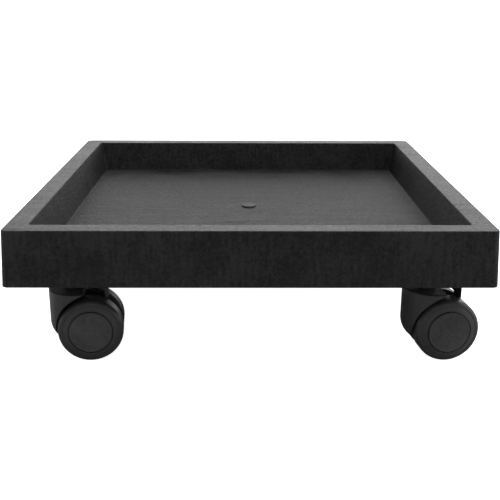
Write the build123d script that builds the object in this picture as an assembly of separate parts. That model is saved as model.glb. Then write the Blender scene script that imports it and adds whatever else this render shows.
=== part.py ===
"""Plant pot caddy: a square plastic tray on four twin-wheel swivel casters.

Millimetres, +Z up. The origin is on the floor under the middle of the tray.
"""

from build123d import *
import math
import os

# ---- tray ----
TRAY_SIDE = 355.6  # across the rim's top, 14 in
TRAY_CORNER_R = 5.5
SKIRT_FLARE = 1.9  # how far the skirt's foot stands out on each side
RIM_Z = 112.0
SKIRT_Z = 69.7
RIM_WIDTH = 16.3
RECESS_DEPTH = 28.9
RECESS_LEAN = 5.8  # how far each inner wall leans in over the recess
RECESS_CORNER_R = 3.0
WALL = 3.0
DECK = 3.5
EDGE_R = 1.0
NUB_R = 6.5  # moulding gate mark in the middle of the deck
NUB_HEIGHT = 2.0
PAD_R = 25.0  # faint round step about the gate mark
PAD_HEIGHT = 0.3
RIB = 2.2
RIB_Z = 72.0
RIB_TOP_Z = 104.0
BOSS_R = 12.0
BOSS_Z = 59.8
GUSSET_REACH = 24.0
GUSSET_FOOT_Z = 65.8
GUSSET_TIP_Z = 73.0
OVERLAP = 1.0  # how far joined shapes run into each other

# ---- caster ----
KINGPIN_XY = 137.0
TRAIL_ANGLE = 6.6  # degrees from +X, the way every caster trails at rest
WHEEL_R = 25.0
AXLE_TRAIL = 12.9  # axle behind the kingpin
HOOD_TRAIL = 4.3  # hood's own axis behind the kingpin
HOOD_R = 22.8
HOOD_Z = 56.0
HOOD_FOOT_Z = 12.0
HOOD_TAIL_Z = 48.0
HOOD_BOWL_R = 18.0  # rounding of the hood's lower end
HOOD_EDGE = 0.6
COLLAR_R = 7.0
COLLAR_Z = 57.1
WEB_HALF = 5.0
ARCH_R = 26.5
LEAD_ARCH_R = 31.8  # wider arch on the leading side, which thins the roof to an edge
LEAD_ARCH_TRAIL = 18.3
ROOF_OPENING = (9.0, 24.5)  # the roof is open over the wheels' tops, up to a band at the tail
ROOF_OPENING_Z = 46.0
AXLE_BOSS_R = 8.0

# ---- wheel, measured out from the caster's middle plane ----
WHEEL_IN = 5.8
TREAD_OUT = 16.4
SHOULDER_R = 4.6
TYRE_IN_R = 21.0
CORE_RIM_R = 18.0
CORE_HUB_R = 6.5
CORE_DISC_IN = 14.6
CORE_DISC_OUT = 17.6
CORE_FACE = 21.5
CAP_SEAT = 20.2
CAP_FACE = 22.0
CAP_R = 16.4
CAP_GROOVE = 0.5
CAP_PLUG_R = 14.5
CAP_PLUG = 1.3
CAP_PLUG_IN = 18.8
SPOKES = 6
SPOKE = 1.6

# ---- pins, rings and clips ----
AXLE_R = 3.0
AXLE_HALF = 19.0
RUNNING = 0.05  # radial running clearance
AXLE_GROOVE_R = 2.4
AXLE_CLIP_R = 5.0
AXLE_CLIP_IN = 17.9
CLIP = 0.8
CLIP_GAP = 2.6
STEM_R = 5.5
STEM_TIP_Z = 79.6
FLANGE_R = 8.5
FLANGE_Z = 57.4
FLANGE = 1.2
NECK_R = 3.0
NECK_TIP_Z = 36.5
NECK_GROOVE_R = 2.2
NECK_CLIP_R = 4.6
NECK_CLIP_Z = 38.7
NECK_CLIP = 1.0
WINDOW_HALF = 5.5
WINDOW_Z = (34.5, 40.0)
SOCKET_R = 8.0
SOCKET_BORE_R = 5.6
SOCKET_TOP_Z = 80.6
SOCKET_FLANGE_R = 10.5
GRIP_GROOVE_R = 4.7
GRIP_Z = 72.0
GRIP_HEIGHT = 3.0
GRIP_GAP = 1.5

DECK_Z = RIM_Z - RECESS_DEPTH
SOCKET_FLANGE_Z = FLANGE_Z + FLANGE
CASTERS = {
    "front_left": (-KINGPIN_XY, -KINGPIN_XY),
    "front_right": (KINGPIN_XY, -KINGPIN_XY),
    "rear_left": (-KINGPIN_XY, KINGPIN_XY),
    "rear_right": (KINGPIN_XY, KINGPIN_XY),
}


def rounded_square(side, corner, z):
    """A horizontal square face with round corners at height z."""
    return Plane.XY.offset(z) * RectangleRounded(side, side, corner)


def frustum(low_side, low_corner, low_z, high_side, high_corner, high_z):
    """A block between two rounded squares."""
    low = rounded_square(low_side, low_corner, low_z)
    high = rounded_square(high_side, high_corner, high_z)
    return loft([low, high])


def drum(radius, low, high):
    """An upright cylinder between two heights."""
    return Pos(0, 0, low) * Cylinder(radius, high - low, align=(Align.CENTER, Align.CENTER, Align.MIN))


def slab(x, y, z):
    """A box from three (low, high) pairs."""
    size = [high - low for low, high in (x, y, z)]
    return Pos(x[0], y[0], z[0]) * Box(*size, align=(Align.MIN, Align.MIN, Align.MIN))


def split_ring(inner, outer, height, gap):
    """A flat ring on the XY plane, cut open on its +Y side."""
    ring = drum(outer, 0, height) - drum(inner, 0, height)
    return ring - slab((-gap / 2, gap / 2), (0, outer + 1), (-1, height + 1))


def side_drum(trail, height, radius, half_length):
    """A cylinder that lies along the caster's axle direction."""
    return Pos(trail, 0, height) * Rot(90, 0, 0) * Cylinder(radius, 2 * half_length)


# ---- tray -------------------------------------------------------------------------------------


def recess(spread, low_z):
    """The tray's hollow down to low_z, spread out by the given wall on every side."""
    drop = RIM_Z - low_z
    top_side = TRAY_SIDE - 2 * RIM_WIDTH + 2 * spread
    low_side = top_side - 2 * RECESS_LEAN * drop / RECESS_DEPTH
    corner = RECESS_CORNER_R + spread
    return frustum(low_side, corner, low_z, top_side, corner + 1, RIM_Z)


def make_shell():
    """Rim, skirt, inner walls and deck, all of one wall thickness."""
    foot = TRAY_SIDE + 2 * SKIRT_FLARE
    outside = frustum(foot, TRAY_CORNER_R + 1, SKIRT_Z, TRAY_SIDE, TRAY_CORNER_R, RIM_Z)
    outside = fillet(outside.edges().group_by(Axis.Z)[-1], EDGE_R)
    body = outside - recess(0, DECK_Z)
    reach = TRAY_SIDE / 2 - WALL
    rim_edges = body.edges().group_by(Axis.Z)[-1]
    inner_edges = [e for e in rim_edges if max(abs(e.center().X), abs(e.center().Y)) < reach]
    body = fillet(inner_edges, EDGE_R)
    hollow_foot = foot - 2 * WALL
    hollow_top = TRAY_SIDE - 2 * WALL
    hollow = frustum(hollow_foot, TRAY_CORNER_R - 2, SKIRT_Z, hollow_top, TRAY_CORNER_R - 2.5, RIM_Z - WALL)
    hollow -= recess(WALL, DECK_Z - DECK)
    return body, hollow


def make_ribs():
    """Four long ribs through the caster bosses, and a short cross between them."""
    ribs = []
    for line, reach in ((-KINGPIN_XY, TRAY_SIDE), (0, KINGPIN_XY), (KINGPIN_XY, TRAY_SIDE)):
        band = (line - RIB / 2, line + RIB / 2)
        ribs.append(slab(band, (-reach, reach), (RIB_Z, RIB_TOP_Z)))
        ribs.append(slab((-reach, reach), band, (RIB_Z, RIB_TOP_Z)))
    return ribs


def make_boss(x, y):
    """A caster boss with two crossed gussets, hanging from the deck."""
    boss = drum(BOSS_R, BOSS_Z, DECK_Z - DECK / 2)
    root = BOSS_R - OVERLAP
    outline = Polyline((GUSSET_REACH, GUSSET_TIP_Z), (root, GUSSET_TIP_Z), (root, GUSSET_FOOT_Z), close=True)
    gusset = extrude(Plane.XZ * make_face(outline), RIB / 2, both=True)
    for turn in range(4):
        boss += Rot(0, 0, 90 * turn) * gusset
    return Pos(x, y, 0) * boss


def make_tray():
    body, hollow = make_shell()
    hollow -= make_ribs()
    tray = body - hollow
    tray += drum(PAD_R, DECK_Z - OVERLAP, DECK_Z + PAD_HEIGHT)
    tray += drum(NUB_R, DECK_Z - OVERLAP, DECK_Z + NUB_HEIGHT)
    for x, y in CASTERS.values():
        tray += make_boss(x, y)
        tray -= Pos(x, y, 0) * drum(SOCKET_R, BOSS_Z - OVERLAP, SOCKET_TOP_Z)
    return tray


# ---- caster pieces, made at the kingpin with the trail along +X ---------------------------------


def hood_outline():
    """The housing's side view: leading side, foot, axle boss and tail."""
    front = HOOD_TRAIL - HOOD_R - OVERLAP
    back = HOOD_TRAIL + HOOD_R + OVERLAP
    boss_x = AXLE_TRAIL + AXLE_BOSS_R
    boss_z = WHEEL_R - AXLE_BOSS_R
    heel_x = AXLE_TRAIL - (boss_z - HOOD_FOOT_Z)
    leading = Polyline((back, HOOD_Z), (front, HOOD_Z), (front, HOOD_FOOT_Z), (heel_x, HOOD_FOOT_Z))
    heel = Line((heel_x, HOOD_FOOT_Z), (AXLE_TRAIL, boss_z))
    boss = JernArc((AXLE_TRAIL, boss_z), (1, 0), AXLE_BOSS_R, 90)
    tail = Spline((boss_x, WHEEL_R), (back, HOOD_TAIL_Z), tangents=[(0, 1), (1, 1)])
    end = Line((back, HOOD_TAIL_Z), (back, HOOD_Z))
    return make_face(Wire([*leading.edges(), heel, boss, tail, end]))


def make_hood():
    """An upright cylinder with a chamfered top and a bowl-shaped lower end."""
    bowl_z = HOOD_FOOT_Z + HOOD_BOWL_R
    flat_r = HOOD_R - HOOD_BOWL_R
    sides = Polyline((flat_r, HOOD_FOOT_Z), (0, HOOD_FOOT_Z), (0, HOOD_Z), (HOOD_R, HOOD_Z), (HOOD_R, bowl_z))
    bowl = JernArc((HOOD_R, bowl_z), (0, -1), HOOD_BOWL_R, -90)
    hood = revolve(Plane.XZ * make_face(Wire([*sides.edges(), bowl])), Axis.Z)
    return Pos(HOOD_TRAIL, 0, 0) * chamfer(hood.edges().group_by(Axis.Z)[-1], HOOD_EDGE)


def make_housing():
    """A round hood with two wheel arches, a middle web and the kingpin's bore."""
    hood = make_hood() & extrude(Plane.XZ * hood_outline(), HOOD_R + OVERLAP, both=True)
    roof_edge, tail_edge = ROOF_OPENING
    lead_arch = side_drum(LEAD_ARCH_TRAIL, WHEEL_R, LEAD_ARCH_R, HOOD_R + OVERLAP)
    lead_arch &= slab((-2 * HOOD_R, AXLE_TRAIL), (-2 * HOOD_R, 2 * HOOD_R), (WHEEL_R, 2 * HOOD_Z))
    arch = side_drum(AXLE_TRAIL, WHEEL_R, ARCH_R, HOOD_R + OVERLAP) + lead_arch
    arch -= slab((-2 * HOOD_R, 2 * HOOD_R), (-WEB_HALF, WEB_HALF), (-HOOD_Z, 2 * HOOD_Z))
    hood -= arch
    hood -= slab((roof_edge, tail_edge), (-HOOD_R, HOOD_R), (ROOF_OPENING_Z, HOOD_Z + OVERLAP))
    hood += drum(COLLAR_R, HOOD_Z - OVERLAP, COLLAR_Z)
    hood -= drum(NECK_R + RUNNING, WINDOW_Z[0], COLLAR_Z + OVERLAP)
    hood -= slab((-WINDOW_HALF, WINDOW_HALF), (-HOOD_R, HOOD_R), WINDOW_Z)
    hood -= side_drum(AXLE_TRAIL, WHEEL_R, AXLE_R, HOOD_R)
    return hood


def make_axle():
    """The pin across the web, with a groove for a clip near each end."""
    axle = drum(AXLE_R, -AXLE_HALF, AXLE_HALF)
    axle = chamfer(axle.edges(), 0.4)
    groove = drum(AXLE_R + 1, AXLE_CLIP_IN, AXLE_CLIP_IN + CLIP)
    groove -= drum(AXLE_GROOVE_R, AXLE_CLIP_IN, AXLE_CLIP_IN + CLIP)
    axle -= groove
    axle -= mirror(groove, about=Plane.XY)
    return axle


def make_axle_clips():
    """One split ring in each of the axle's grooves."""
    clip = Pos(0, 0, AXLE_CLIP_IN) * split_ring(AXLE_GROOVE_R, AXLE_CLIP_R, CLIP, CLIP_GAP)
    return Compound([clip, mirror(clip, about=Plane.XY)])


def spin(points):
    """Turn a closed outline of (radius, height) points about the Z axis."""
    return revolve(Plane.XZ * make_face(Polyline(*points, close=True)), Axis.Z)


def make_wheel_core():
    """Hub, disc and rim of one wheel, with a seat for the hub cap outside and ribs inside."""
    shoulder = TREAD_OUT + math.sqrt(SHOULDER_R**2 - (TYRE_IN_R - WHEEL_R + SHOULDER_R) ** 2)
    seat_r = CAP_R + CAP_GROOVE
    core = spin(
        [
            (AXLE_R + RUNNING, WHEEL_IN),
            (CORE_HUB_R, WHEEL_IN),
            (CORE_HUB_R, CORE_DISC_IN),
            (CORE_RIM_R, CORE_DISC_IN),
            (CORE_RIM_R, WHEEL_IN),
            (TYRE_IN_R, WHEEL_IN),
            (TYRE_IN_R, shoulder),
            (seat_r, CORE_FACE),
            (seat_r, CAP_SEAT),
            (CAP_PLUG_R, CAP_SEAT),
            (CAP_PLUG_R, CORE_DISC_OUT),
            (AXLE_R + RUNNING, CORE_DISC_OUT),
        ]
    )
    rib = slab((CORE_HUB_R - 1, CORE_RIM_R + 1), (-SPOKE / 2, SPOKE / 2), (WHEEL_IN + 1, CORE_DISC_IN + 1))
    for turn in range(SPOKES):
        core += Rot(0, 0, 360 * turn / SPOKES) * rib
    return core


def make_tyre():
    """The soft tread round one wheel, with a round outer shoulder."""
    centre_r = WHEEL_R - SHOULDER_R
    end = TREAD_OUT + math.sqrt(SHOULDER_R**2 - (TYRE_IN_R - centre_r) ** 2)
    bevel = 0.8
    inner = Polyline((TYRE_IN_R, end), (TYRE_IN_R, WHEEL_IN), (WHEEL_R - bevel, WHEEL_IN))
    edge = Polyline((WHEEL_R - bevel, WHEEL_IN), (WHEEL_R, WHEEL_IN + bevel), (WHEEL_R, TREAD_OUT))
    middle = SHOULDER_R * math.sqrt(0.5)
    shoulder = ThreePointArc((WHEEL_R, TREAD_OUT), (centre_r + middle, TREAD_OUT + middle), (TYRE_IN_R, end))
    outline = make_face(Wire([*inner.edges(), *edge.edges(), shoulder]))
    return revolve(Plane.XZ * outline, Axis.Z)


def make_hub_cap():
    """The flat disc that covers the axle's end, with a plug ring behind it."""
    bevel = 0.4
    inside = CAP_SEAT + 0.2
    return spin(
        [
            (0, inside),
            (CAP_PLUG_R - CAP_PLUG, inside),
            (CAP_PLUG_R - CAP_PLUG, CAP_PLUG_IN),
            (CAP_PLUG_R, CAP_PLUG_IN),
            (CAP_PLUG_R, CAP_SEAT),
            (CAP_R, CAP_SEAT),
            (CAP_R, CAP_FACE - bevel),
            (CAP_R - bevel, CAP_FACE),
            (0, CAP_FACE),
        ]
    )


def make_kingpin():
    """Stem, flange and neck in one steel pin, with a groove for a ring and one for a clip."""
    stem = drum(STEM_R, FLANGE_Z, STEM_TIP_Z)
    stem = chamfer(stem.edges().group_by(Axis.Z)[-1], 1.2)
    pin = stem + drum(FLANGE_R, FLANGE_Z, FLANGE_Z + FLANGE)
    pin += drum(NECK_R, NECK_TIP_Z, FLANGE_Z)
    pin -= drum(STEM_R, GRIP_Z, GRIP_Z + GRIP_HEIGHT) - drum(GRIP_GROOVE_R, GRIP_Z, GRIP_Z + GRIP_HEIGHT)
    clip_top = NECK_CLIP_Z + NECK_CLIP
    pin -= drum(NECK_R, NECK_CLIP_Z, clip_top) - drum(NECK_GROOVE_R, NECK_CLIP_Z, clip_top)
    return pin


def make_grip_ring():
    """The sprung ring that holds the stem in its socket."""
    return Pos(0, 0, GRIP_Z) * split_ring(GRIP_GROOVE_R, SOCKET_BORE_R, GRIP_HEIGHT, GRIP_GAP)


def make_retaining_clip():
    """The clip under the housing's bore that holds the housing on the kingpin."""
    return Pos(0, 0, NECK_CLIP_Z) * split_ring(NECK_GROOVE_R, NECK_CLIP_R, NECK_CLIP, 2 * NECK_GROOVE_R - 0.8)


def make_socket():
    """The flanged tube pressed into the tray's boss."""
    tube = drum(SOCKET_R, BOSS_Z, SOCKET_TOP_Z)
    tube += drum(SOCKET_FLANGE_R, SOCKET_FLANGE_Z, BOSS_Z)
    return tube - drum(SOCKET_BORE_R, SOCKET_FLANGE_Z - 1, SOCKET_TOP_Z + 1)


# ---- assembly -----------------------------------------------------------------------------------


def main():
    upright = {
        "housing": make_housing(),
        "kingpin": make_kingpin(),
        "grip_ring": make_grip_ring(),
        "retaining_clip": make_retaining_clip(),
        "socket": make_socket(),
    }
    on_axle = {"axle": make_axle(), "axle_clips": make_axle_clips()}
    wheel = {"wheel_core": make_wheel_core(), "tyre": make_tyre(), "hub_cap": make_hub_cap()}
    nodes = {"tray": make_tray()}
    to_axle = Pos(AXLE_TRAIL, 0, WHEEL_R)
    sides = {"left": Rot(90, 0, 0), "right": Rot(-90, 0, 0)}
    for caster, (x, y) in CASTERS.items():
        place = Pos(x, y, 0) * Rot(0, 0, TRAIL_ANGLE)
        for name, shape in upright.items():
            nodes[f"{caster}_{name}"] = place * shape
        for name, shape in on_axle.items():
            nodes[f"{caster}_{name}"] = place * to_axle * Rot(90, 0, 0) * shape
        for side, turn in sides.items():
            for name, shape in wheel.items():
                nodes[f"{caster}_{side}_{name}"] = place * to_axle * turn * shape
    os.makedirs("parts", exist_ok=True)
    for name, shape in nodes.items():
        export_step(shape, f"parts/{name}.step")


main()
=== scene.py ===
"""Looks of the plant pot caddy: a black moulded tray on four twin-wheel casters, on a plain pale floor."""

import math

import bmesh
import bpy
from mathutils import Matrix, Vector


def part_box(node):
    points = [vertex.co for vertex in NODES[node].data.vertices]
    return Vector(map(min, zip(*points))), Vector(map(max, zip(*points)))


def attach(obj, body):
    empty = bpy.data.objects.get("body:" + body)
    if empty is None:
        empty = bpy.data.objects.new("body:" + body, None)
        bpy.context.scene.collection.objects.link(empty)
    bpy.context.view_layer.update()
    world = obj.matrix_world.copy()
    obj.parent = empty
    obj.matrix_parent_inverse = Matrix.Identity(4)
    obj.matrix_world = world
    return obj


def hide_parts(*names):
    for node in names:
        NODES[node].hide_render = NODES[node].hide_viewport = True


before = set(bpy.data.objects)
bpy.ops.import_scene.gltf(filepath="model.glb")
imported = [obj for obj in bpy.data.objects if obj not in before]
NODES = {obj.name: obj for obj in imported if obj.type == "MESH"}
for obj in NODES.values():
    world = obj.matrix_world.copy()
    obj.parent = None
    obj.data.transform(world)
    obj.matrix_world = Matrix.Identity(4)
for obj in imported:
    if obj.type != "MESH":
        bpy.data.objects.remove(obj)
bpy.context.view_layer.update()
MM = 0.001
CASTERS = ("front_left", "front_right", "rear_left", "rear_right")

# ---- tray, in mm: half sizes are from the middle plane to a face ----
TRAY_LOW, TRAY_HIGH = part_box("tray")
FOOT_HALF = TRAY_HIGH.x / MM  # skirt's foot, the widest place
RIM_Z = TRAY_HIGH.z / MM
TOP_HALF = FOOT_HALF - 1.9
SKIRT_Z = 69.7
RIM_WIDTH = 16.3
RECESS_DEPTH = 28.9
RECESS_LEAN = 5.8
WALL = 3.0
DECK = 3.5
DECK_Z = RIM_Z - RECESS_DEPTH
DECK_MID_Z = DECK_Z - DECK / 2
PAD_R = 25.0
PAD_HEIGHT = 0.15
NUB_R = 6.5
NUB_HEIGHT = 1.5
RIB = 2.2
RIB_Z = 72.0
RIB_TOP_Z = 104.0
BOSS_R = 12.0
SOCKET_R = 8.0
BOSS_Z = TRAY_LOW.z / MM
GUSSET_REACH = 24.0
GUSSET_FOOT_Z = 65.8
GUSSET_TIP_Z = 73.0

# ---- wheel, in mm: radius from the axle, height out from the caster's middle plane ----
WHEEL_R = 25.0
WHEEL_IN = 5.8
TYRE_IN_R = 21.0
TYRE_OUT = 20.0
BORE_R = 3.05
HUB_R = 6.5
CORE_RIM_R = 18.0
CORE_FIT = 0.04  # between the core's rim and the tyre
DISC_IN = 14.6
DISC_OUT = 17.6
CORE_FACE = 21.5
CAP_R = 16.2
CAP_GROOVE = 0.85
CAP_SEAT = 20.2
CAP_FACE = 22.0
CAP_DISH = 0.15
CAP_PLUG_R = 14.5
CAP_PLUG = 1.3
CAP_PLUG_IN = 18.8
SPOKES = 6
SPOKE = 1.6

# ---- camera ----
EYE = Vector((-0.0065, -0.736, 0.2783))
YAW, PITCH, ROLL = (math.radians(a) for a in (0.6, 17.9, 0.23))
LENS = 59.29


# ---- mesh helpers -------------------------------------------------------------------------------


def box_middle(node):
    low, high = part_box(node)
    return (low + high) / 2


def soften(points, steps=6, closed=False):
    """An outline with round corners. Each point is its coordinates and then its corner's radius."""
    count = len(points)
    outline = []
    for i, (*place, radius) in enumerate(points):
        here = Vector(place)
        if radius == 0 or (not closed and i in (0, count - 1)):
            outline.append(here)
            continue
        back = Vector(points[i - 1][:-1]) - here
        ahead = Vector(points[(i + 1) % count][:-1]) - here
        angle = back.angle(ahead)
        reach = radius / math.tan(angle / 2)
        start = here + back.normalized() * reach
        end = here + ahead.normalized() * reach
        pull = math.sin(angle / 2)
        for k in range(steps + 1):
            t = k / steps
            a, b, c = (1 - t) ** 2, 2 * pull * t * (1 - t), t * t
            outline.append((start * a + here * b + end * c) / (a + b + c))
    return outline


def skin(bm, loops, around=True):
    """Faces between neighbouring loops of points. A loop of one point closes the skin there."""
    rows = [[bm.verts.new(p) for p in loop] for loop in loops]
    for low, high in zip(rows, rows[1:]):
        count = max(len(low), len(high))
        for i in range(count if around else count - 1):
            j = (i + 1) % count
            ring = [low[i % len(low)], low[j % len(low)], high[j % len(high)], high[i % len(high)]]
            corners = list(dict.fromkeys(ring))
            if len(corners) > 2:
                bm.faces.new(corners)
    return rows


def square_loop(half, corner, z, side_steps=36, corner_steps=10):
    """Points round a square with round corners."""
    flat = half - corner
    loop = []
    for quarter in range(4):
        turn = Matrix.Rotation(math.radians(90 * quarter), 3, "Z")
        for k in range(side_steps):
            loop.append(turn @ Vector((half, flat * (2 * k / side_steps - 1), z)))
        for k in range(corner_steps):
            angle = math.radians(90 * k / corner_steps)
            loop.append(turn @ Vector((flat + corner * math.cos(angle), flat + corner * math.sin(angle), z)))
    return loop


def round_loop(like, radius, z):
    """A circle with its points in the same directions as those of another loop."""
    return [Vector((p.x, p.y, 0)).normalized() * radius + Vector((0, 0, z)) for p in like]


def lathe(bm, outline, segments=128):
    """Turn an outline of (radius, height) points about the Z axis."""
    rows = []
    for radius, height in outline:
        if radius < 1e-6:
            rows.append([Vector((0, 0, height))])
            continue
        turns = [2 * math.pi * k / segments for k in range(segments)]
        rows.append([Vector((radius * math.cos(a), radius * math.sin(a), height)) for a in turns])
    return skin(bm, rows)


def plate(bm, outline, half_thick, place):
    """A flat plate of one outline in XZ, thick along Y, moved by a matrix."""
    sides = [[bm.verts.new(place @ Vector((x, y, z))) for x, z in outline] for y in (-half_thick, half_thick)]
    for side in sides:
        bm.faces.new(side)
    count = len(outline)
    for i in range(count):
        j = (i + 1) % count
        bm.faces.new((sides[0][i], sides[0][j], sides[1][j], sides[1][i]))


def make_piece(name, bm, place, body, nodes, material, sharp=35):
    """Put a mesh drawn in mm into the frame, riding on a body in place of its CAD nodes."""
    bmesh.ops.recalc_face_normals(bm, faces=bm.faces)
    mesh = bpy.data.meshes.new(name)
    bm.to_mesh(mesh)
    bm.free()
    mesh.transform(place @ Matrix.Scale(MM, 4))
    mesh.shade_smooth()
    mesh.set_sharp_from_angle(angle=math.radians(sharp))
    mesh.materials.append(material)
    piece = bpy.data.objects.new(name, mesh)
    bpy.context.scene.collection.objects.link(piece)
    weighted = piece.modifiers.new("even_shading", "WEIGHTED_NORMAL")
    weighted.keep_sharp = True
    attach(piece, body)
    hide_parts(*nodes)
    return piece


# ---- materials ----------------------------------------------------------------------------------


class Surface:
    """One material, built node by node."""

    def __init__(self, name, **sockets):
        self.material = bpy.data.materials.new(name)
        self.material.use_nodes = True
        self.tree = self.material.node_tree
        self.shader = self.tree.nodes["Principled BSDF"]
        self.coordinates = self.tree.nodes.new("ShaderNodeTexCoord")
        for socket, value in sockets.items():
            self.shader.inputs[socket.replace("_", " ")].default_value = value

    def put(self, socket, value):
        """Link or set one input of the shader."""
        self.give(self.shader.inputs[socket], value)

    def give(self, socket, value):
        if isinstance(value, bpy.types.NodeSocket):
            self.tree.links.new(value, socket)
        else:
            socket.default_value = value

    def add(self, kind, inputs, output=0, **settings):
        """A new node with its inputs linked or set by index or name. Gives one of its outputs."""
        node = self.tree.nodes.new(f"ShaderNode{kind}")
        for name, value in settings.items():
            setattr(node, name, value)
        for key, value in inputs.items():
            self.give(node.inputs[key], value)
        return node.outputs[output]

    def math(self, operation, a, b=0.0, c=0.0):
        return self.add("Math", {0: a, 1: b, 2: c}, operation=operation)

    def noise(self, stretch, detail=3.0, rough=0.55):
        """Noise from -0.5 to 0.5 with the given features per metre along X, Y and Z."""
        place = self.add("Mapping", {"Vector": self.coordinates.outputs["Object"], "Scale": stretch})
        value = self.add("TexNoise", {"Vector": place, "Scale": 1.0, "Detail": detail, "Roughness": rough})
        return self.math("SUBTRACT", value, 0.5)

    def colour(self, dark, light, value):
        """A colour between two greys, by a value from 0 to 1."""
        ramp = {"Factor": value, 6: (dark, dark, dark, 1), 7: (light, light, light, 1)}
        return self.add("Mix", ramp, 2, data_type="RGBA", clamp_factor=True)

    def bump(self, height, strength, distance, under=None):
        inputs = {"Height": height, "Strength": strength, "Distance": distance}
        if under is not None:
            inputs["Normal"] = under
        return self.add("Bump", inputs)


def moulded(name, greys, rough, specular, stipple, streak, mottle, dull_below=0.0):
    """Black moulded plastic: stipple, short flow streaks and a slow change of tone.

    Level faces lower than dull_below are a little duller.
    """
    s = Surface(name, Specular_IOR_Level=specular)
    upright = s.add("SeparateXYZ", {0: s.coordinates.outputs["Normal"]}, 2)
    height = s.add("SeparateXYZ", {0: s.coordinates.outputs["Object"]}, 2)
    flat = s.math("GREATER_THAN", s.math("ABSOLUTE", upright), 0.7)
    deck = s.math("MULTIPLY", flat, s.math("LESS_THAN", height, dull_below))
    fine = s.noise((1000, 1000, 1000), 2.0)
    coarse = s.noise((340, 340, 340), 3.0, 0.6)
    grain = s.math("MULTIPLY_ADD", coarse, 1.2, fine)
    along_x = s.noise((16, 125, 16), 5.0, 0.65)
    along_z = s.noise((380, 380, 50), 5.0, 0.65)
    streaks = s.add("Mix", {"Factor": flat, 2: along_z, 3: along_x})
    patches = s.noise((24, 24, 24), 4.0, 0.6)
    fade = s.math("MULTIPLY_ADD", patches, 3.0, 0.8)
    streaks = s.math("MULTIPLY", streaks, fade)
    tone = s.math("MULTIPLY_ADD", streaks, 10 * streak, 0.5)
    tone = s.math("MULTIPLY_ADD", patches, 10 * mottle, tone)
    tone = s.math("MULTIPLY_ADD", grain, 2 * stipple, tone)
    s.put("Base Color", s.colour(*greys, tone))
    gloss = s.math("MULTIPLY_ADD", grain, 0.5 * stipple, rough)
    gloss = s.math("MULTIPLY_ADD", streaks, 1.5 * streak, gloss)
    gloss = s.math("MULTIPLY_ADD", patches, mottle, gloss)
    gloss = s.math("MULTIPLY_ADD", deck, 0.12, gloss)
    s.put("Roughness", gloss)
    low = s.bump(streaks, min(1.0, streak * 3), 0.0008)
    s.put("Normal", s.bump(grain, stipple, 0.0007, low))
    return s.material


def tread_rubber(name):
    """Hard black tread: slightly duller than the plastic, with scuffs round the wheel."""
    s = Surface(name, Specular_IOR_Level=0.3)
    grain = s.noise((1500, 1500, 1500), 2.0)
    scuffs = s.noise((160, 160, 160), 5.0, 0.65)
    s.put("Base Color", s.colour(0.020, 0.048, s.math("MULTIPLY_ADD", scuffs, 1.6, 0.5)))
    s.put("Roughness", s.math("MULTIPLY_ADD", scuffs, 0.25, 0.36))
    s.put("Normal", s.bump(grain, 0.18, 0.0002, s.bump(scuffs, 0.12, 0.0003)))
    return s.material


def turned_steel(name, grey, rough):
    """Bright steel with fine turning marks round its upright axis and a little uneven tarnish."""
    s = Surface(name, Metallic=1.0)
    marks = s.noise((60, 60, 5200), 2.0)
    stain = s.noise((260, 260, 260), 4.0)
    s.put("Base Color", s.colour(grey * 0.72, grey, s.math("MULTIPLY_ADD", stain, 1.8, 0.6)))
    s.put("Roughness", s.math("MULTIPLY_ADD", stain, 0.3, rough))
    s.put("Normal", s.bump(marks, 0.25, 0.00008))
    return s.material


TRAY = moulded(
    "tray_black", greys=(0.002, 0.018), rough=0.44, specular=0.22,
    stipple=0.85, streak=0.28, mottle=0.22, dull_below=(DECK_Z + 1) * MM,
)
HOUSING = moulded(
    "caster_black", greys=(0.024, 0.050), rough=0.38, specular=0.32,
    stipple=0.20, streak=0.04, mottle=0.10,
)
CORE = moulded(
    "wheel_black", greys=(0.024, 0.056), rough=0.42, specular=0.32,
    stipple=0.20, streak=0.04, mottle=0.12,
)
CAP = moulded(
    "cap_black", greys=(0.022, 0.072), rough=0.48, specular=0.32,
    stipple=0.35, streak=0.05, mottle=0.20,
)
SOCKET = moulded(
    "socket_black", greys=(0.020, 0.034), rough=0.50, specular=0.35,
    stipple=0.20, streak=0.05, mottle=0.10,
)
TREAD = tread_rubber("tread_black")
PIN = turned_steel("pin_steel", grey=0.62, rough=0.28)
SPRING = turned_steel("spring_steel", grey=0.42, rough=0.36)


# ---- tray ---------------------------------------------------------------------------------------


def recess_half(z, wall=0.0):
    """Half size of the recess at a height, spread by a wall."""
    return TOP_HALF - RIM_WIDTH + wall - RECESS_LEAN * (RIM_Z - z) / RECESS_DEPTH


def skirt_half(z, wall=0.0):
    """Half size of the skirt at a height, less a wall."""
    return TOP_HALF + (FOOT_HALF - TOP_HALF) * (RIM_Z - z) / (RIM_Z - SKIRT_Z) - wall


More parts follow.
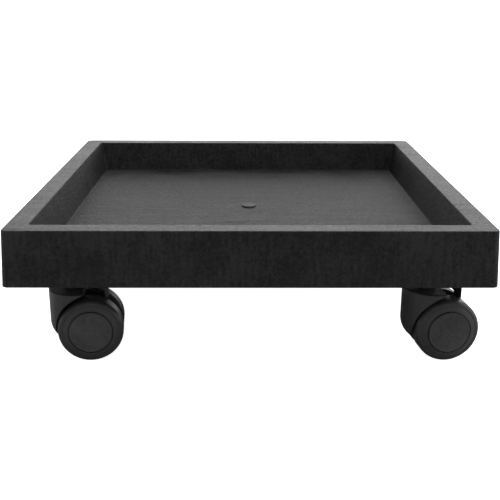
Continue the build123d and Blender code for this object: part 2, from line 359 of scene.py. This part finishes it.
def tray_shell(bm):
    """The tray's skin in one run: under the deck, inside the skirt, over the rim and across the deck."""
    under_z = DECK_Z - DECK
    ceiling = RIM_Z - WALL
    inner_low = recess_half(under_z, WALL)
    inner_high = recess_half(ceiling, WALL)
    # half size, height, plan corner radius, edge radius
    profile = [
        (inner_low - 12, under_z, 4.0, 0),
        (inner_low, under_z, 5.0, 1.0),
        (inner_high, ceiling, 6.0, 1.5),
        (skirt_half(ceiling, WALL), ceiling, 2.2, 1.0),
        (skirt_half(SKIRT_Z, WALL), SKIRT_Z, 2.2, 0.4),
        (FOOT_HALF, SKIRT_Z, 4.6, 0.6),
        (TOP_HALF, RIM_Z, 4.6, 0.9),
        (recess_half(RIM_Z), RIM_Z, 2.8, 1.0),
        (recess_half(DECK_Z), DECK_Z, 1.8, 0.6),
        (recess_half(DECK_Z) - 8, DECK_Z, 1.8, 0),
    ]
    loops = [square_loop(half, corner, z) for half, z, corner in soften(profile)]
    under = [round_loop(loops[0], r, under_z) for r in (0.5, 30.0, 90.0)]
    pad_z = DECK_Z + PAD_HEIGHT
    nub_z = DECK_Z + NUB_HEIGHT
    centre = soften(
        [
            (120.0, DECK_Z, 0),
            (PAD_R + 4, DECK_Z, 0),
            (PAD_R + 0.6, DECK_Z, 1.0),
            (PAD_R - 1.6, pad_z, 1.0),
            (NUB_R + 0.4, pad_z, 0.3),
            (NUB_R, nub_z, 0.5),
            (NUB_R - 2.0, nub_z - 0.05, 0),
            (1.6, nub_z - 0.35, 0),
            (0.5, nub_z - 0.1, 0),
        ],
        steps=4,
    )
    middle = [round_loop(loops[-1], r, z) for r, z in centre]
    skin(bm, [[Vector((0, 0, under_z))], *under, *loops, *middle, [Vector((0, 0, nub_z - 0.1))]])


def tray_ribs(bm, line):
    """Four long ribs from skirt to skirt at the bosses' lines, and a short cross between them."""
    wall = WALL / 2
    half_rib = [
        (skirt_half(RIB_Z, wall), RIB_Z),
        (skirt_half(RIB_TOP_Z, wall), RIB_TOP_Z),
        (recess_half(RIB_TOP_Z, wall), RIB_TOP_Z),
        (recess_half(DECK_MID_Z, wall), DECK_MID_Z),
    ]
    long_rib = half_rib + [(-x, z) for x, z in reversed(half_rib)]
    short_rib = [(line, RIB_Z), (line, DECK_MID_Z), (-line, DECK_MID_Z), (-line, RIB_Z)]
    for turn in (0, 90):
        spun = Matrix.Rotation(math.radians(turn), 4, "Z")
        for offset, outline in ((-line, long_rib), (0, short_rib), (line, long_rib)):
            plate(bm, outline, RIB / 2, spun @ Matrix.Translation((0, offset, 0)))


def tray_boss(bm, boss):
    """The tube that holds a caster's socket, with four gussets."""
    inner = BOSS_R - 1
    gusset = [(GUSSET_REACH, GUSSET_TIP_Z), (inner, GUSSET_TIP_Z), (inner, GUSSET_FOOT_Z)]
    tube = [
        (SOCKET_R, BOSS_Z, 0.3),
        (BOSS_R, BOSS_Z, 0.5),
        (BOSS_R, DECK_MID_Z, 0),
        (SOCKET_R, DECK_MID_Z, 0),
    ]
    place = Matrix.Translation((boss.x, boss.y, 0))
    before = set(bm.verts)
    outline = soften(tube, steps=3, closed=True)
    lathe(bm, outline + outline[:1], 64)
    bmesh.ops.transform(bm, matrix=place, verts=[v for v in bm.verts if v not in before])
    for quarter in range(4):
        plate(bm, gusset, RIB / 2, place @ Matrix.Rotation(math.radians(90 * quarter), 4, "Z"))


def make_tray():
    bm = bmesh.new()
    bosses = [box_middle(f"{caster}_kingpin") / MM for caster in CASTERS]
    tray_shell(bm)
    tray_ribs(bm, abs(bosses[0].x))
    for boss in bosses:
        tray_boss(bm, boss)
    bmesh.ops.remove_doubles(bm, verts=bm.verts, dist=1e-5)
    return make_piece("tray_moulding", bm, Matrix.Identity(4), "tray_body", ["tray"], TRAY)


# ---- wheels -------------------------------------------------------------------------------------


def make_core(name, place, body, node):
    """Hub, disc and rim, with spokes on the inner side and a seat for the cap outside."""
    bm = bmesh.new()
    seat_r = CAP_R + CAP_GROOVE
    outer_r = TYRE_IN_R - CORE_FIT
    outline = soften(
        [
            (BORE_R, WHEEL_IN, 0.2),
            (HUB_R, WHEEL_IN, 0.4),
            (HUB_R, DISC_IN, 0.6),
            (CORE_RIM_R, DISC_IN, 0.8),
            (CORE_RIM_R, WHEEL_IN, 0.3),
            (outer_r, WHEEL_IN, 0.2),
            (outer_r, TYRE_OUT - 0.02, 0.1),
            (outer_r - 1.36, TYRE_OUT + 0.62, 2.0),
            (seat_r, CORE_FACE, 0.2),
            (seat_r, CAP_SEAT, 0.05),
            (CAP_PLUG_R, CAP_SEAT, 0.2),
            (CAP_PLUG_R, DISC_OUT, 0.3),
            (BORE_R, DISC_OUT, 0.2),
        ],
        steps=4,
        closed=True,
    )
    lathe(bm, outline + outline[:1])
    bmesh.ops.remove_doubles(bm, verts=bm.verts, dist=1e-5)
    start, end, foot, top = HUB_R - 0.7, CORE_RIM_R + 0.6, WHEEL_IN + 1, DISC_IN + 0.8
    spoke = [(start, foot), (end, foot), (end, top), (start, top)]
    for k in range(SPOKES):
        plate(bm, spoke, SPOKE / 2, Matrix.Rotation(2 * math.pi * k / SPOKES, 4, "Z"))
    return make_piece(name, bm, place, body, [node], CORE)


def make_tyre(name, place, body, node):
    """The tread, with a round outer shoulder that runs into the core's face."""
    bm = bmesh.new()
    outline = soften(
        [
            (TYRE_IN_R, WHEEL_IN, 0.2),
            (WHEEL_R, WHEEL_IN, 0.9),
            (WHEEL_R, TYRE_OUT - 0.1, 3.9),
            (TYRE_IN_R, TYRE_OUT, 0.15),
        ],
        steps=10,
        closed=True,
    )
    lathe(bm, outline + outline[:1], 160)
    bmesh.ops.remove_doubles(bm, verts=bm.verts, dist=1e-5)
    return make_piece(name, bm, place, body, [node], TREAD)


def make_cap(name, place, body, node):
    """The disc over the axle's end, very slightly dished, with its plug ring behind."""
    bm = bmesh.new()
    outline = soften(
        [
            (0, CAP_SEAT + 0.2, 0),
            (CAP_PLUG_R - CAP_PLUG, CAP_SEAT + 0.2, 0.1),
            (CAP_PLUG_R - CAP_PLUG, CAP_PLUG_IN, 0.3),
            (CAP_PLUG_R, CAP_PLUG_IN, 0.3),
            (CAP_PLUG_R, CAP_SEAT, 0.1),
            (CAP_R, CAP_SEAT, 0.2),
            (CAP_R, CAP_FACE, 0.35),
            (CAP_R - 1.2, CAP_FACE, 0.8),
            (CAP_R - 1.9, CAP_FACE - CAP_DISH, 1.5),
            (0, CAP_FACE - CAP_DISH, 0),
        ],
        steps=5,
    )
    lathe(bm, outline)
    return make_piece(name, bm, place, body, [node], CAP)


def wheel_places(caster):
    """(side, placement) of both wheels, with +Z out along the axle and +X back along the trail."""
    axle = box_middle(f"{caster}_axle")
    trail = axle - box_middle(f"{caster}_kingpin")
    trail = Vector((trail.x, trail.y, 0)).normalized()
    places = []
    for side, sign in (("left", 1), ("right", -1)):
        out = Vector((trail.y, -trail.x, 0)) * sign
        turn = Matrix((trail, out.cross(trail), out)).transposed().to_4x4()
        places.append((side, Matrix.Translation(axle) @ turn))
    return places


make_tray()
for caster in CASTERS:
    for side, place in wheel_places(caster):
        name = f"{caster}_{side}"
        body = f"{name}_wheel"
        make_core(f"{name}_core_lathe", place, body, f"{name}_wheel_core")
        make_tyre(f"{name}_tread_lathe", place, body, f"{name}_tyre")
        make_cap(f"{name}_cap_lathe", place, body, f"{name}_hub_cap")

FINISHES = {
    "housing": HOUSING,
    "kingpin": PIN,
    "grip_ring": SPRING,
    "retaining_clip": SPRING,
    "socket": SOCKET,
    "axle": PIN,
    "axle_clips": SPRING,
}
HOUSING_EDGE = 0.3

for caster in CASTERS:
    for part, material in FINISHES.items():
        node = NODES[f"{caster}_{part}"]
        node.data.materials.clear()
        node.data.materials.append(material)
        weld = node.modifiers.new("weld", "WELD")
        weld.merge_threshold = 0.002 * MM
    edges = NODES[f"{caster}_housing"].modifiers.new("soft_edges", "BEVEL")
    edges.width = HOUSING_EDGE * MM
    edges.segments = 2
    edges.limit_method = "ANGLE"
    edges.angle_limit = math.radians(40)
    edges.harden_normals = True


# ---- floor, light and camera --------------------------------------------------------------------


def make_floor():
    """A pale floor that is solid from above and clear from underneath."""
    bm = bmesh.new()
    bmesh.ops.create_grid(bm, x_segments=1, y_segments=1, size=60)
    mesh = bpy.data.meshes.new("floor")
    bm.to_mesh(mesh)
    bm.free()
    floor = bpy.data.objects.new("floor", mesh)
    bpy.context.scene.collection.objects.link(floor)
    s = Surface("floor_white", Roughness=0.9, Specular_IOR_Level=0.0)
    seen = s.add("LightPath", {}, "Is Camera Ray")
    below = s.add("NewGeometry", {}, "Backfacing")
    s.put("Base Color", s.colour(0.36, 0.9, seen))
    s.put("Emission Color", (1, 1, 1, 1))
    s.put("Emission Strength", s.math("MULTIPLY", seen, 0.95))
    s.put("Alpha", s.math("SUBTRACT", 1.0, below))
    mesh.materials.append(s.material)


def make_world():
    """A soft white studio: brightest overhead, dim behind the camera, with low panels at both sides."""
    world = bpy.data.worlds.new("studio")
    bpy.context.scene.world = world
    world.use_nodes = True
    tree = world.node_tree

    def ramp(value, low, high, least, most):
        node = tree.nodes.new("ShaderNodeMapRange")
        node.interpolation_type = "SMOOTHSTEP"
        tree.links.new(value, node.inputs["Value"])
        for name, number in (("From Min", low), ("From Max", high), ("To Min", least), ("To Max", most)):
            node.inputs[name].default_value = number
        return node.outputs[0]

    def combine(operation, *values):
        node = tree.nodes.new("ShaderNodeMath")
        node.operation = operation
        for value, socket in zip(values, node.inputs):
            tree.links.new(value, socket)
        return node.outputs[0]

    direction = tree.nodes.new("ShaderNodeTexCoord").outputs["Generated"]
    split = tree.nodes.new("ShaderNodeSeparateXYZ")
    tree.links.new(direction, split.inputs[0])
    x, y, z = split.outputs
    depth = ramp(y, -0.75, -0.1, 0.24, 1.0)
    height = ramp(z, 0.2, 0.95, 2.1, 3.0)
    left = ramp(x, -0.9, 0.0, 0.05, 1.0)
    right = ramp(x, 0.0, 0.9, 1.0, 0.65)
    strength = depth
    for factor in (height, left, right):
        strength = combine("MULTIPLY", strength, factor)
    aside = ramp(combine("ABSOLUTE", x), 0.6, 0.9, 0.0, 2.0)
    low_down = ramp(z, 0.06, 0.22, 1.0, 0.0)
    strength = combine("MULTIPLY_ADD", aside, low_down, strength)
    seen = tree.nodes.new("ShaderNodeLightPath").outputs["Is Camera Ray"]
    light = tree.nodes["Background"]
    light.inputs["Color"].default_value = (1, 1, 1, 1)
    tree.links.new(combine("MAXIMUM", strength, seen), light.inputs["Strength"])


def make_camera():
    """A short telephoto from the front, looking a little down."""
    camera = bpy.data.cameras.new("camera")
    camera.sensor_width = 36.0
    camera.lens = LENS
    camera.clip_start, camera.clip_end = 0.02, 200
    eye = bpy.data.objects.new("camera", camera)
    bpy.context.scene.collection.objects.link(eye)
    ahead = Vector((math.sin(YAW) * math.cos(PITCH), math.cos(YAW) * math.cos(PITCH), -math.sin(PITCH)))
    right = Vector((math.cos(YAW), -math.sin(YAW), 0))
    up = right.cross(ahead)
    tilted_right = right * math.cos(ROLL) + up * math.sin(ROLL)
    tilted_up = up * math.cos(ROLL) - right * math.sin(ROLL)
    turn = Matrix((tilted_right, tilted_up, -ahead)).transposed().to_4x4()
    eye.matrix_world = Matrix.Translation(EYE) @ turn
    bpy.context.scene.camera = eye


make_floor()
make_world()
make_camera()
bpy.context.scene.view_settings.view_transform = "Standard"
